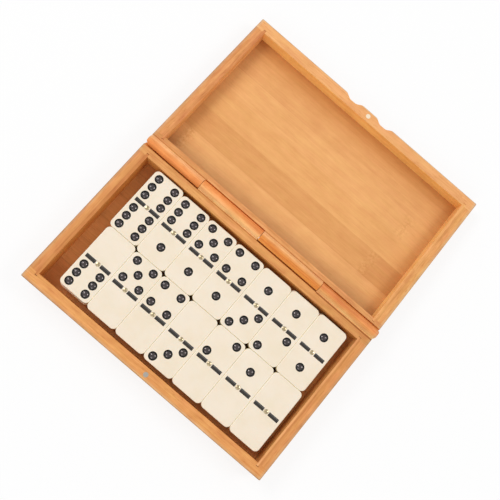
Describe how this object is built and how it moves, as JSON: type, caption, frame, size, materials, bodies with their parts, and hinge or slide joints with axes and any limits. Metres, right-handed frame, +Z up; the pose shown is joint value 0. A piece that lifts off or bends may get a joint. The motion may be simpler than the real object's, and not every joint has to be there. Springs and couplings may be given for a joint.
{
  "type": "domino storage box",
  "caption": "Open hinged bamboo box with wooden barrel hinge, filled with ivory dominoes with brass spinners.",
  "frame": {"origin": "centre of the base's underside, at the table", "axes": "+X to the right along the hinge line, +Y from the base's front towards the hinge and the open lid, +Z up"},
  "size_m": [0.2006, 0.2418, 0.0236],
  "materials": {
    "base_bottom_panel": "satin bamboo",
    "base_front_rail": "satin bamboo",
    "base_back_rail": "satin bamboo",
    "base_left_rail": "satin bamboo",
    "base_right_rail": "satin bamboo",
    "base_hinge_strip": "satin bamboo",
    "hinge_pin": "plain",
    "base_magnet": "plain",
    "lid_top_panel": "satin bamboo",
    "lid_front_rail": "satin bamboo",
    "lid_back_rail": "satin bamboo",
    "lid_left_rail": "satin bamboo",
    "lid_right_rail": "satin bamboo",
    "lid_hinge_strip": "satin bamboo",
    "lid_magnet": "plain",
    "ivory": "polished",
    "spinner_brass": "polished"
  },
  "bodies": {
    "base": {"base_bottom_panel": "base_bottom_panel", "base_front_rail": "base_front_rail", "base_back_rail": "base_back_rail", "base_left_rail": "base_left_rail", "base_right_rail": "base_right_rail", "base_hinge_strip": "base_hinge_strip", "hinge_pin": "hinge_pin", "base_magnet": "base_magnet"},
    "lid": {"lid_top_panel": "lid_top_panel", "lid_front_rail": "lid_front_rail", "lid_back_rail": "lid_back_rail", "lid_left_rail": "lid_left_rail", "lid_right_rail": "lid_right_rail", "lid_hinge_strip": "lid_hinge_strip", "lid_magnet": "lid_magnet"},
    "domino_6_5": {"domino_6_5": "ivory"},
    "domino_6_4": {"domino_6_4": "ivory"},
    "domino_6_3": {"domino_6_3": "ivory"},
    "domino_6_2": {"domino_6_2": "ivory"},
    "domino_5_5": {"domino_5_5": "ivory"},
    "domino_5_4": {"domino_5_4": "ivory"},
    "domino_5_3": {"domino_5_3": "ivory"},
    "domino_5_2": {"domino_5_2": "ivory"},
    "domino_4_4": {"domino_4_4": "ivory"},
    "domino_4_3": {"domino_4_3": "ivory"},
    "domino_4_2": {"domino_4_2": "ivory"},
    "domino_3_3": {"domino_3_3": "ivory"},
    "domino_3_2": {"domino_3_2": "ivory"},
    "domino_2_2": {"domino_2_2": "ivory"},
    "domino_6_0": {"domino_6_0": "ivory", "domino_6_0_spinner": "spinner_brass"},
    "domino_5_0": {"domino_5_0": "ivory", "domino_5_0_spinner": "spinner_brass"},
    "domino_4_0": {"domino_4_0": "ivory", "domino_4_0_spinner": "spinner_brass"},
    "domino_3_0": {"domino_3_0": "ivory", "domino_3_0_spinner": "spinner_brass"},
    "domino_2_0": {"domino_2_0": "ivory", "domino_2_0_spinner": "spinner_brass"},
    "domino_1_0": {"domino_1_0": "ivory", "domino_1_0_spinner": "spinner_brass"},
    "domino_0_0": {"domino_0_0": "ivory", "domino_0_0_spinner": "spinner_brass"},
    "domino_6_6": {"domino_6_6": "ivory", "domino_6_6_spinner": "spinner_brass"},
    "domino_6_1": {"domino_6_1": "ivory", "domino_6_1_spinner": "spinner_brass"},
    "domino_5_1": {"domino_5_1": "ivory", "domino_5_1_spinner": "spinner_brass"},
    "domino_4_1": {"domino_4_1": "ivory", "domino_4_1_spinner": "spinner_brass"},
    "domino_3_1": {"domino_3_1": "ivory", "domino_3_1_spinner": "spinner_brass"},
    "domino_2_1": {"domino_2_1": "ivory", "domino_2_1_spinner": "spinner_brass"},
    "domino_1_1": {"domino_1_1": "ivory", "domino_1_1_spinner": "spinner_brass"}
  },
  "joints": [
    {"name": "lid_hinge", "type": "hinge", "parent": "base", "child": "lid", "pos_m": [0, 0.0615, 0.02], "axis": [-1, 0, 0], "range_deg": [-183.34, 0]},
    {"name": "domino_6_5_lift", "type": "slide", "parent": "base", "child": "domino_6_5", "axis": [0, 0, 1], "range_m": [0, 0.02]},
    {"name": "domino_6_4_lift", "type": "slide", "parent": "base", "child": "domino_6_4", "axis": [0, 0, 1], "range_m": [0, 0.02]},
    {"name": "domino_6_3_lift", "type": "slide", "parent": "base", "child": "domino_6_3", "axis": [0, 0, 1], "range_m": [0, 0.02]},
    {"name": "domino_6_2_lift", "type": "slide", "parent": "base", "child": "domino_6_2", "axis": [0, 0, 1], "range_m": [0, 0.02]},
    {"name": "domino_5_5_lift", "type": "slide", "parent": "base", "child": "domino_5_5", "axis": [0, 0, 1], "range_m": [0, 0.02]},
    {"name": "domino_5_4_lift", "type": "slide", "parent": "base", "child": "domino_5_4", "axis": [0, 0, 1], "range_m": [0, 0.02]},
    {"name": "domino_5_3_lift", "type": "slide", "parent": "base", "child": "domino_5_3", "axis": [0, 0, 1], "range_m": [0, 0.02]},
    {"name": "domino_5_2_lift", "type": "slide", "parent": "base", "child": "domino_5_2", "axis": [0, 0, 1], "range_m": [0, 0.02]},
    {"name": "domino_4_4_lift", "type": "slide", "parent": "base", "child": "domino_4_4", "axis": [0, 0, 1], "range_m": [0, 0.02]},
    {"name": "domino_4_3_lift", "type": "slide", "parent": "base", "child": "domino_4_3", "axis": [0, 0, 1], "range_m": [0, 0.02]},
    {"name": "domino_4_2_lift", "type": "slide", "parent": "base", "child": "domino_4_2", "axis": [0, 0, 1], "range_m": [0, 0.02]},
    {"name": "domino_3_3_lift", "type": "slide", "parent": "base", "child": "domino_3_3", "axis": [0, 0, 1], "range_m": [0, 0.02]},
    {"name": "domino_3_2_lift", "type": "slide", "parent": "base", "child": "domino_3_2", "axis": [0, 0, 1], "range_m": [0, 0.02]},
    {"name": "domino_2_2_lift", "type": "slide", "parent": "base", "child": "domino_2_2", "axis": [0, 0, 1], "range_m": [0, 0.02]},
    {"name": "domino_6_0_lift", "type": "slide", "parent": "domino_6_5", "child": "domino_6_0", "axis": [0, 0, 1], "range_m": [0, 0.012]},
    {"name": "domino_5_0_lift", "type": "slide", "parent": "domino_6_4", "child": "domino_5_0", "axis": [0, 0, 1], "range_m": [0, 0.012]},
    {"name": "domino_4_0_lift", "type": "slide", "parent": "domino_6_3", "child": "domino_4_0", "axis": [0, 0, 1], "range_m": [0, 0.012]},
    {"name": "domino_3_0_lift", "type": "slide", "parent": "domino_6_2", "child": "domino_3_0", "axis": [0, 0, 1], "range_m": [0, 0.012]},
    {"name": "domino_2_0_lift", "type": "slide", "parent": "domino_5_5", "child": "domino_2_0", "axis": [0, 0, 1], "range_m": [0, 0.012]},
    {"name": "domino_1_0_lift", "type": "slide", "parent": "domino_5_4", "child": "domino_1_0", "axis": [0, 0, 1], "range_m": [0, 0.012]},
    {"name": "domino_0_0_lift", "type": "slide", "parent": "domino_5_3", "child": "domino_0_0", "axis": [0, 0, 1], "range_m": [0, 0.012]},
    {"name": "domino_6_6_lift", "type": "slide", "parent": "domino_5_2", "child": "domino_6_6", "axis": [0, 0, 1], "range_m": [0, 0.012]},
    {"name": "domino_6_1_lift", "type": "slide", "parent": "domino_4_4", "child": "domino_6_1", "axis": [0, 0, 1], "range_m": [0, 0.012]},
    {"name": "domino_5_1_lift", "type": "slide", "parent": "domino_4_3", "child": "domino_5_1", "axis": [0, 0, 1], "range_m": [0, 0.012]},
    {"name": "domino_4_1_lift", "type": "slide", "parent": "domino_4_2", "child": "domino_4_1", "axis": [0, 0, 1], "range_m": [0, 0.012]},
    {"name": "domino_3_1_lift", "type": "slide", "parent": "domino_3_3", "child": "domino_3_1", "axis": [0, 0, 1], "range_m": [0, 0.012]},
    {"name": "domino_2_1_lift", "type": "slide", "parent": "domino_3_2", "child": "domino_2_1", "axis": [0, 0, 1], "range_m": [0, 0.012]},
    {"name": "domino_1_1_lift", "type": "slide", "parent": "domino_2_2", "child": "domino_1_1", "axis": [0, 0, 1], "range_m": [0, 0.012]}
  ]
}
